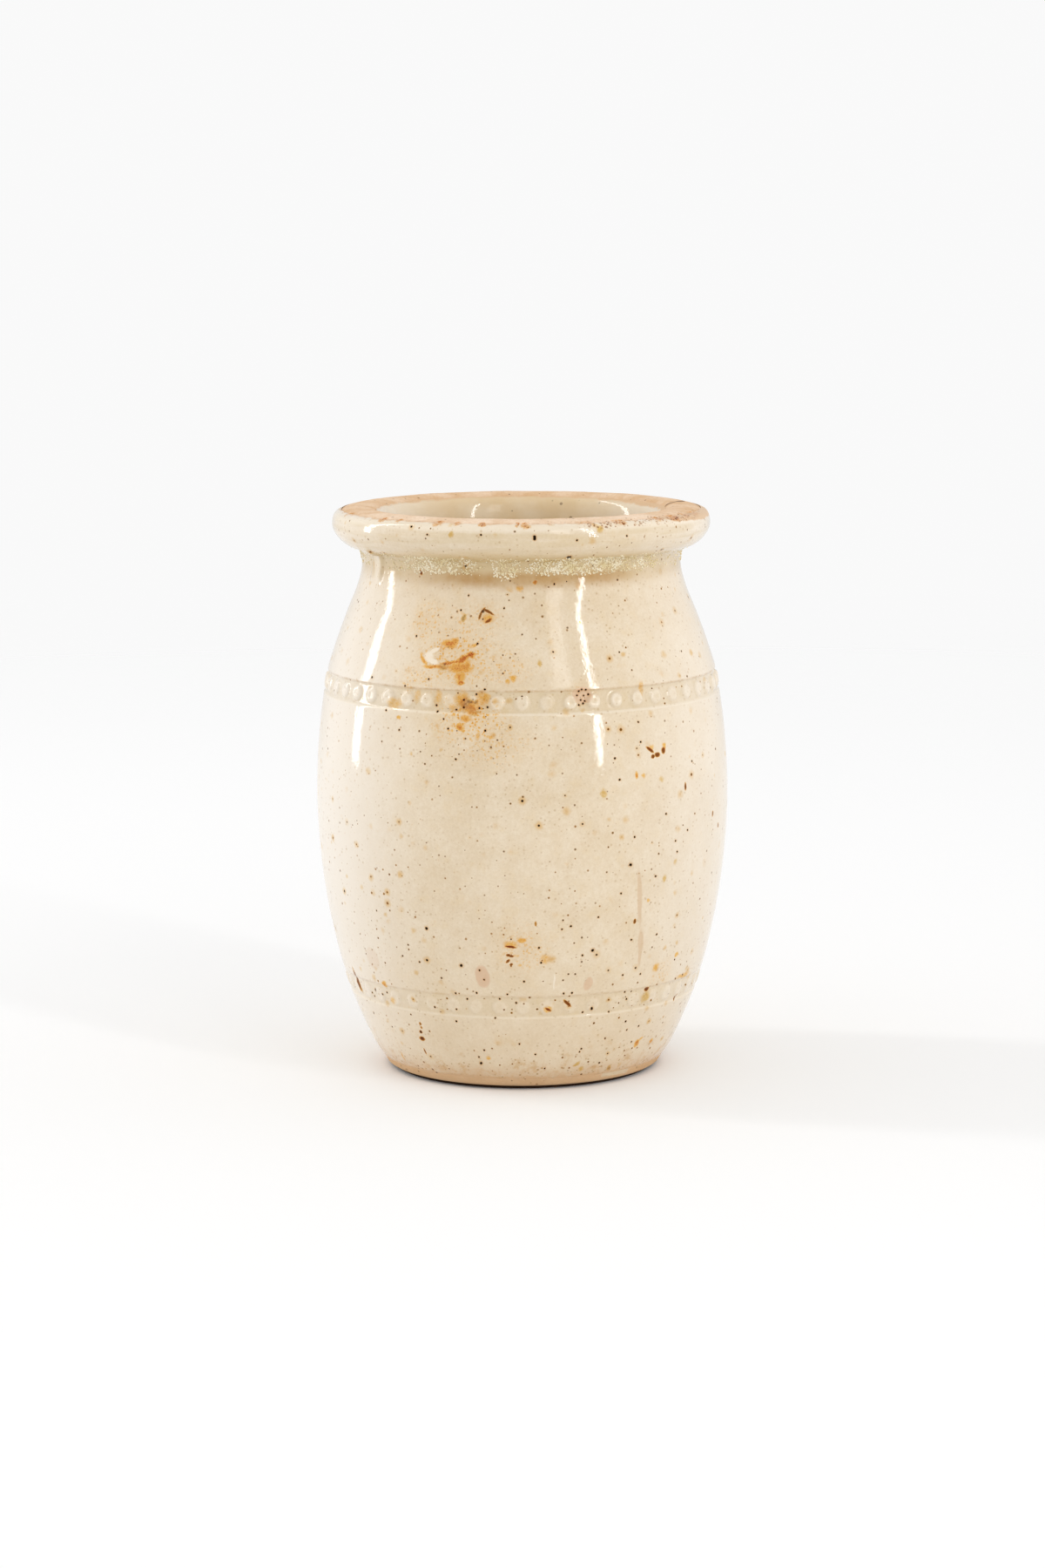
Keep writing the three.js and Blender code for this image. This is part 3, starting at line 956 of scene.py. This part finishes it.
# %% Marks on the outer glaze
RUST = [
    (-22.7, 78.8, 2.8, 1.1, 0.85), (-21, 79.3, 1.3, 1, 0.7), (-21.2, 75.8, 3.5, 0.6, 0.9, 6),
    (-17.8, 76.4, 2.4, 1.1, 1, 39), (-15.4, 77.2, 1.6, 0.9, 1), (-14.6, 78.7, 1.7, 0.5, 0.5, 22),
    (-18.5, 75, 4.2, 1.5, 0.75), (-16.2, 75.4, 1.3, 1.7, 0.65), (-18.2, 73.5, 1.7, 2.2, 0.7),
    (-17.7, 72.6, 1.1, 0.7, 0.9), (-30.7, 76, 2.4, 0.6, 0.7, -49), (-27.2, 75, 3.4, 0.7, 0.8, 5),
    (-2.5, 73.5, 1.1, 1, 0.6), (-4.1, 72.9, 0.8, 0.7, 0.6), (-10.4, 70.2, 1.4, 1.7, 0.55),
    (-38.7, 68.4, 3.1, 1.8, 0.4), (-31.2, 70, 1.3, 2.4, 0.35), (-24.4, 69.9, 1.2, 2.8, 0.4),
    (-17.2, 69.8, 2.4, 2.6, 0.5), (-14.4, 68.4, 3, 1.8, 0.55, 15), (-11.6, 70.1, 1.6, 2.8, 0.4),
    (-15.8, 66.7, 1.7, 1.1, 0.6), (-17.3, 65.2, 1.4, 1.1, 0.8), (-12.2, 63.8, 0.8, 1.4, 0.4),
    (-19.6, 68.4, 1.6, 1.4, 0.35), (-8.3, 63.6, 0.8, 0.7, 0.45), (-36.9, 66.1, 0.8, 0.7, 0.6),
    (36.6, 70.9, 0.9, 2.4, 0.4), (38, 60.8, 1.1, 0.7, 0.5), (42.7, 60.8, 0.7, 1, 0.6),
    (32.5, 56.2, 0.6, 1.2, 0.8), (34.8, 56.1, 0.8, 0.7, 0.5), (37.5, 34.2, 0.7, 0.6, 0.5),
    (-3.5, 27.7, 2.2, 1.4, 0.5), (-0.2, 28.5, 1.3, 1, 0.65), (6.4, 25.1, 1.7, 1.8, 0.4),
    (-0.9, 24, 0.8, 0.6, 0.4), (7.7, 15.7, 1.5, 1.1, 0.5), (44.2, 21.6, 1.5, 1.4, 0.55),
    (53.3, 23.1, 1, 0.8, 0.6), (60.5, 18.5, 4.6, 0.8, 0.55), (44.9, 7.3, 1.3, 1.2, 0.9),
    (46.3, 7.9, 1.6, 0.5, 0.5, 18), (53.8, 7, 1.1, 0.8, 0.8), (-48.7, 18.3, 1.1, 0.9, 0.8),
    (-46.7, 15.4, 1.6, 1.2, 0.45), (-52.9, 4.3, 0.5, 1.7, 0.5), (-12.5, 6.3, 0.9, 0.7, 0.5),
    (-10.9, 83.2, 2.2, 1.6, 0.5), (4.6, 89.1, 0.7, 0.6, 0.9), (-0.7, 88.2, 1.4, 1, 0.45),
]
RUST_CLOUDS = [
    (-20, 77.2, 12, 9, 0.55), (-17, 82.7, 11, 6, 0.3), (-15, 66.2, 10, 7, 0.6), (0, 26.7, 8, 8, 0.3),
    (-5, 75.2, 8, 5, 0.35), (-8, 62.2, 12, 7, 0.3), (17.2, 70.6, 4.2, 3.6, 0.3), (46, 20.2, 6, 5, 0.25),
    (-31, 82, 7, 7, 0.35), (-31, 73, 8, 4, 0.4),
]
OLIVE_MARKS = [
    (-15.9, 69.2, 2.2, 1.7, 0.75, 25), (-14.2, 68.5, 1.6, 1.1, 0.6, -20), (-14.7, 69.5, 1.1, 0.9, 1),
    (-13, 69.5, 0.9, 0.7, 0.9), (-23.6, 75, 1.6, 1.1, 0.7), (-23.3, 75.6, 0.8, 0.5, 1),
    (-19.1, 83.2, 0.7, 1.2, 0.9), (-13.3, 67.6, 1.7, 0.9, 0.6), (5.4, 75.9, 0.8, 1.1, 0.5),
    (41.1, 55.2, 1, 1, 0.4), (22.4, 53.6, 1, 1.7, 0.5), (42.9, 37.6, 0.9, 1.2, 0.5),
    (46.9, 40.2, 0.7, 1, 0.4), (42.6, 16.2, 1.8, 2.2, 0.5), (23.9, 98.4, 1.4, 1.2, 0.6),
    (-20.9, 97.7, 0.8, 1, 0.6), (35.1, 3.2, 1, 0.9, 0.8), (-15.6, 77.1, 1.3, 0.8, 0.6, 30),
    (-17.4, 76.5, 1.8, 0.5, 0.5, 39), (20.2, 4.8, 1.6, 0.6, 0.7, 30), (22.4, 3.7, 1.3, 0.9, 0.5),
]
BROWN = [
    (-13.6, 83.6, 1.3, 0.42, 0.8, 75), (-12.9, 84.4, 1.4, 0.4, 0.8, 50), (-10.9, 84.3, 2.3, 0.4, 0.85, -24),
    (-10.7, 82.8, 1.3, 0.46, 0.8, 30), (37.5, 60.4, 1.8, 0.5, 1, -37), (38.4, 59.2, 0.7, 0.7, 1),
    (40, 59.4, 1.1, 0.8, 1), (42.3, 60, 0.8, 1.1, 1), (50.6, 53.2, 0.5, 1.3, 1), (65.6, 47.1, 0.6, 1, 0.8),
    (70.4, 44.6, 0.6, 0.8, 0.8), (-3.5, 27.3, 1.7, 0.42, 1, -9), (-4.2, 25.8, 0.7, 0.45, 1),
    (-3.3, 25.6, 0.8, 0.45, 0.9), (-4.3, 24.7, 0.9, 0.4, 0.9, 47), (-3.4, 24.1, 0.5, 0.5, 0.9),
    (3.6, 31.4, 0.35, 0.9, 0.7), (13.9, 16.7, 1.8, 0.55, 1, -42), (7.9, 15.7, 1.2, 0.42, 0.9, -28),
    (59.5, 14.6, 1.3, 0.42, 1, 57), (42.3, 17.7, 1.1, 0.8, 1), (33.4, 30.7, 0.5, 0.9, 0.9),
    (-66.5, 17.4, 4.1, 0.9, 0.95, -72), (-36.6, 11.8, 0.6, 0.6, 0.8), (-36.6, 11.1, 0.5, 0.5, 0.7),
    (-37.4, 10.2, 0.7, 0.6, 1), (-37.7, 8.9, 1.3, 0.8, 1), (-38.3, 6.4, 1.1, 0.4, 0.9, -79),
    (-37.7, 90.3, 0.6, 0.9, 1, 30),
]
BIG_SPECKS = [
    (20.5, 26.2), (22.2, 15.4), (-18.4, 23.6), (-54.9, 16.6), (-15.7, 5.2), (30.7, 40.9), (15.4, 93.6),
    (14.8, 93.6), (3.9, 97.4), (3.9, 97.1), (-28.3, 29.9),
]
SPECKS = [
    (-20.4, 84.4), (-5.8, 84.9), (-34.8, 79.8), (-13.6, 79.1), (-10.5, 71.6), (-35.5, 71.5), (-27.8, 72.9),
    (-18.7, 68), (-22.2, 66.4), (-20.7, 64.8), (-10.1, 64.7), (-9.7, 68.6), (-36.2, 64), (-41.6, 67.1),
    (-18.2, 59.7), (-18.3, 86.9), (35.8, 89), (11.5, 88.8), (-28.6, 97.5), (-11.8, 97.7), (32.7, 97),
    (16.5, 96.7), (34.2, 65.3), (34.5, 61.9), (26, 59.5), (27.2, 55.8), (54.1, 57.3), (69.3, 58.2),
    (42.6, 49), (51.6, 45.5), (31.8, 45.7), (46.5, 44), (47.4, 42), (39.5, 38.3), (28.1, 36), (11.1, 30.3),
    (13.6, 30.8), (4.6, 27.1), (5.3, 24.4), (21.6, 32.1), (17.5, 25.4), (31.5, 21.1), (0.3, 21),
    (-4.8, 18.6), (-7.2, 17.7), (-2.1, 17), (12.5, 18.6), (15.1, 18.6), (19.4, 14.8), (28.7, 14.4),
    (33.5, 17.8), (34.7, 16.4), (32.9, 27.4), (42.2, 27.7), (38.2, 20.8), (56, 18.4), (43, 10.7),
    (37.8, 10.4), (29.4, 9.3), (41.9, 7.8), (60.1, 18.7), (-32.1, 23.6), (-11.7, 21.2), (-12.9, 22.9),
    (-21.1, 18.4), (-14.3, 18.7), (-17.6, 17.4), (-29.2, 15.4), (-21.5, 15.4), (-22.2, 13.1), (-56.8, 15.3),
    (-61.5, 11.7), (-48.8, 16.7), (-51, 16.2), (-16.2, 6.4), (-13.8, 7.8), (-8.9, 14.1), (-38.2, 2.8),
    (-1.3, 9.2), (4.3, 7.1), (20.4, 7.2), (8, 4.3), (16.4, 71.1), (17.8, 70.3), (16.9, 69.6), (18.5, 71.3),
    (15.9, 70.4), (17.2, 71.4), (18.1, 69.4), (16.3, 68.8), (19.2, 70.5), (17.5, 69), (-13, 70.7),
    (-16.6, 69.7), (-12, 68.4), (-24.8, 68.6), (-24.3, 67.6), (-37.4, 10.2), (-37.7, 9),
]
PINK = [
    (-12.1, 21.7, 2.5, 4, 1, 8), (20.1, 20.1, 1.5, 2.5, 0.85, -18), (-51.7, 22.7, 3.4, 4, 0.3),
    (17.4, 70.4, 3.4, 3, 0.9),
]
RUN = [
    (34.4, 34.9, 9.8, 0.9, 0.75, -84), (36.4, 26.8, 4.3, 1.1, 0.75, -83), (36.8, 24.4, 3.7, 0.7, 0.75, -84),
]
PALE_SCAR = [
    (-28.9, 76.6, 1.7, 1.7, 0.9), (-27.4, 75.9, 2.4, 0.85, 0.9, -22), (-27.5, 77.6, 2.4, 0.6, 0.8, 26),
    (9.4, 20.8, 0.3, 2.8, 0.8), (-61, 90.8, 3, 5.5, 0.6, -15),
]
RIM_RUST = [
    (-26, 99.4, 1.8, 0.9, 0.8), (-12, 99.3, 1.2, 0.6, 1), (-1, 99.3, 0.7, 0.6, 1),
    (1.3, 99.2, 1.6, 0.8, 0.8), (31, 99.4, 2.6, 1, 0.5), (32.5, 99.3, 1.3, 0.9, 0.7),
    (47, 99.3, 2.2, 0.8, 0.4), (54.5, 99.2, 2.8, 1, 0.6), (62, 99.3, 1.8, 0.8, 0.4),
    (-48, 99.4, 1.6, 0.6, 0.9), (-41, 99.4, 1, 0.6, 0.7), (-20, 99.3, 1, 0.6, 0.6), (20, 99.5, 4, 0.7, 0.3),
    (70, 99.3, 3, 0.8, 0.4), (-70, 99.4, 3, 0.7, 0.5),
]


def behind():
    """A place on the wall that the camera doesn't see."""
    return random.choice((-1, 1)) * random.uniform(80, 176), random.uniform(6, 86)


for number in range(12):
    RUST.append((*behind(), random.uniform(0.6, 1.8), random.uniform(0.6, 1.4), random.uniform(0.4, 0.9)))
    SPECKS.extend((behind(), behind()))
for number in range(5):
    BROWN.append((*behind(), random.uniform(0.9, 1.6), 0.42, 0.9, random.uniform(-80, 80)))
    RUST_CLOUDS.append((*behind(), random.uniform(5, 10), random.uniform(4, 8), random.uniform(0.25, 0.5)))
print(len(RUST), "rust stains,", len(BROWN), "brown strokes,", len(SPECKS), "specks")

# %% [markdown]
# A stain is see-through, so it multiplies the colour under it. Scars and bare drops hide it.
# Each kind of mark gets its own roughness of edge: a rust cloud is soft, a brown stroke is nearly sharp.

# %% Outer glaze: stains and flaws
ragged_flat = shaken(flat, place, 1.2, 0.45)
broken = clouds(place, 0.4, 4, 0.7).ramp(0.35, 0.65)
rust_cloud = marks(shaken(flat, place, 4, 2), RUST_CLOUDS, 0.9)
rust_dust = specks(shaken(place, place, 0.6, 0.35), 0.5, 0.17, 0.65)[1] * rust_cloud
rust_mask = marks(ragged_flat, RUST, 0.7) * (0.65 + 0.4 * broken)
olive_mask = marks(ragged_flat, OLIVE_MARKS, 0.7) * (0.65 + 0.35 * broken)
rim_mask = marks(ragged_flat, RIM_RUST, 0.8) * (0.3 + 0.7 * broken)
scar_mask = marks(shaken(flat, place, 1.2, 0.25), PALE_SCAR, 0.3)
near_flat = shaken(flat, place, 0.6, 0.12)
brown_mask = marks(near_flat, BROWN, 0.4)
pink_mask = marks(shaken(flat, place, 2, 0.3), PINK, 0.12)
run_mask = marks(shaken(flat, place, 2, 0.2), RUN, 0.3)
small, small_halo = dotted(near_flat, SPECKS, 0.18)
big, big_halo = dotted(near_flat, BIG_SPECKS, 0.28)
speck_mask = small.either(big)

ground = stain(rust_cloud * (0.3 + 0.7 * broken), ground, shade(246, 218, 162))
rust_mask = rust_mask.either(rust_dust)
rust_pins = specks(place, 0.7, 0.11, 0.3)[0] * rust_cloud.ramp(0.05, 0.4)
ground = deep_stain(rust_mask, ground, shade(250, 208, 102), shade(226, 152, 42))
ground = deep_stain(rim_mask, ground, *RIM_STAIN)
ground = deep_stain(olive_mask, ground, shade(236, 210, 136), shade(160, 134, 66))
ground = blend(pink_mask * 0.75, ground, shade(214, 176, 140))
ground = blend(run_mask * 0.7, ground, shade(208, 172, 130))
ground = blend(scar_mask * 0.85, ground, PALE)
ground = deep_stain(brown_mask, ground, shade(234, 188, 98), shade(152, 112, 50))
ground = blend(rust_pins, ground, shade(112, 68, 22))
ground = stain(small_halo.either(big_halo) * 0.7, ground, AMBER)
ground = blend(speck_mask, ground, BLACK)
print("Glaze with its marks:", len(glaze.id_data.nodes), "nodes")

# %% [markdown]
# The gloss is high but not perfect. A fine orange peel breaks the streaks' edges, and bare drops are dull.
# Specks and rust are iron oxide melted to the surface, so they count as metal, which adds no white sheen.

# %% Outer glaze: gloss and fine relief
peel = clouds(place, 0.8, 3, 0.65)
relief = peel * 0.6 + scar_mask * 0.5
dull = pink_mask.either(bare_edge).either(bare_foot)
gloss = 0.02 + 0.02 * slow + 0.1 * pepper + 0.35 * dull
glaze.inputs["IOR"].default_value = 1.65
iron = speck_mask.either(dots).either(pepper).either(brown_mask * 0.8).either(rim_grains)
iron = iron.either(rust_mask.ramp(0.4, 1) * 0.6)
feed(glaze, base_color=ground, roughness=gloss, metallic=iron, normal=bump(relief, 0.03))
print("Outer glaze:", len(glaze.id_data.nodes), "nodes")

# %% [markdown]
# Bare stoneware is matt, tan to pinkish, with sand and iron grains in it.
# The rim is pale where it was wiped, and paler still on its front, a painted highlight; it is brown at its
# edges. On its right two short cracks are dark with dirt.
# On the foot a run of glaze crosses the bare strip, so the mask of that run also sets the gloss.

# %% Bare clay
RIM_EDGE = 31.3  # radius in mm of the stains along the rim's outer edge

clay, place = finish(clay_body, "bare_clay")
height = place.axis("Z")
radius = place.vector("MULTIPLY", (1, 1, 0)).vector("LENGTH", output="Value")
flat = unrolled(place, radius)
across = flat.axis("X")
on_rim = height.ramp(90, 95)
patches = clouds(place, 5, 4, 0.6).ramp(0.35, 0.65)
sand = clouds(place, 0.5, 4, 0.7).ramp(0.3, 0.7)
front_painted_light = across.unsigned().ramp(44, 20)
# Painted highlight: the clay is painted paler on the front of the pot than on its sides and back.
earth = blend(patches * 0.6 + front_painted_light * 0.5, shade(226, 188, 146), shade(250, 226, 200))
earth = blend(sand * 0.3, earth, shade(205, 160, 112))
earth = blend(height.ramp(4, 1.5) * 0.8, earth, BARE_FOOT_CLAY)
# Painted shade: the undercut under the foot is painted nearly black, so the gap under the pot reads dark.
earth = blend(height.ramp(0.75, 0.5), earth, shade(52, 30, 14))
iron = specks(place, 1.1, 0.2, 0.35)[0]
earth = blend(iron * 0.6, earth, shade(128, 84, 46))
wiped = clouds(place, 1.4, 4, 0.65)
brown_ring = (radius + wiped * 1.2).ramp(31.6, 32.4) * on_rim * wiped.ramp(0.4, 0.6)
earth = blend(brown_ring * (0.2 + 0.3 * front_painted_light), earth, shade(176, 118, 62))
ragged_flat = shaken(flat, place, 1.2, 0.45)
rim_edge_rust = []
for angle, high, width, length, strength in RIM_RUST:
    rim_edge_rust.append((angle, RIM_EDGE, 0.7 * width, 1, strength))
gritty = clouds(place, 0.4, 3, 0.7).ramp(0.42, 0.58)
rim_mask = marks(ragged_flat, rim_edge_rust, 0.8) * (0.25 + 0.75 * gritty) * on_rim
earth = deep_stain(rim_mask, earth, *RIM_STAIN)
right_front = across.ramp(4, 18) * across.ramp(48, 40)
rim_grit = specks(place, 0.55, 0.15, 0.6)[0] * radius.ramp(29.8, 31.4) * on_rim
earth = blend(rim_grit * (0.12 + 0.8 * right_front), earth, shade(134, 80, 36))
CRACKS = [(97.6, 26.6, 3.2, 0.9, 0.9, 44), (102.6, 29.2, 3, 1, 1, 38)]
cracks = marks(ragged_flat, CRACKS, 0.4) * on_rim
earth = blend(cracks, earth, shade(96, 64, 44))
foot_run = across.ramp(33 * ROUND_MM, 34 * ROUND_MM) * across.ramp(48 * ROUND_MM, 47 * ROUND_MM)
foot_run = foot_run * (height + wiped).ramp(1.7, 2.0) * height.ramp(4, 3)
earth = blend(foot_run, earth, TAN)
clay.inputs["Specular IOR Level"].default_value = 0.25
feed(
    clay,
    base_color=earth,
    roughness=0.85 - foot_run * 0.7,
    normal=bump(sand * 0.6 + patches - iron * 0.5 - cracks, 0.06),
)
print("Bare clay:", len(clay.id_data.nodes), "nodes")

# %% [markdown]
# The lining has the same glaze as the outside without its stains, with a bare ragged edge at the lip. Its
# sides are painted paler, a painted sheen.

# %% Inner glaze
lining, place = finish(inner_lining, "lining_glaze")
height = place.axis("Z")
slow = clouds(place, 8, 4).ramp(0.35, 0.68)
tone = blend(slow, shade(226, 199, 156), shade(236, 216, 184))
pepper = specks(place, 1.7, 0.26, 0.35)[0]
dots = specks(place, 4, 0.4, 0.3)[0]
tone = blend(pepper * 0.6, tone, shade(104, 78, 50))
tone = blend(dots * 0.8, tone, shade(52, 42, 34))
side = place.axis("X")
# Painted sheen: the lining's left and right sides are painted paler.
tone = blend(side.unsigned().ramp(10, 24) * 0.6, tone, shade(240, 228, 208))
lip_edge = (height + clouds(place, 2, 4, 0.6) * 1.2 + side.ramp(12, 22) * 0.5).ramp(99.5, 99.9)
tone = blend(lip_edge, tone, BARE)
gloss = 0.05 + 0.03 * slow + 0.5 * lip_edge
feed(lining, base_color=tone, roughness=gloss, normal=bump(clouds(place, 1.4, 3, 0.6) - pepper, 0.015))
print("Inner glaze:", len(lining.id_data.nodes), "nodes")

# %% [markdown]
# The crust is pale yellow and sparkles a little, because each grain keeps its flat faces.

# %% Crust
sugar, place = finish(neck_crust, "sugary_crust")
tint = clouds(place, 2.5, 3)
grainy = clouds(place, 0.4, 2)
crust_colour = blend(tint.ramp(0.35, 0.65), shade(233, 217, 174), shade(249, 240, 216))
crust_colour = blend(grainy.ramp(0.55, 0.75) * 0.4, crust_colour, shade(216, 192, 138))
feed(sugar, base_color=crust_colour, roughness=0.3 + 0.3 * grainy, normal=bump(grainy, 0.03))
print("Crust:", len(sugar.id_data.nodes), "nodes")

# %% [markdown]
# Last, each piece is tied to the frame. Three turned pieces stand for the solids, and the crust rides along.

# %% Tie to the frame
for piece, node, slot in (
    (glazed_outside, "outer_glaze", "outer_glaze"),
    (clay_body, "stoneware_body", "bare_stoneware"),
    (inner_lining, "inner_glaze", "inner_glaze"),
):
    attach(piece, "root")
    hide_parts(node)
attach(neck_crust, "root")
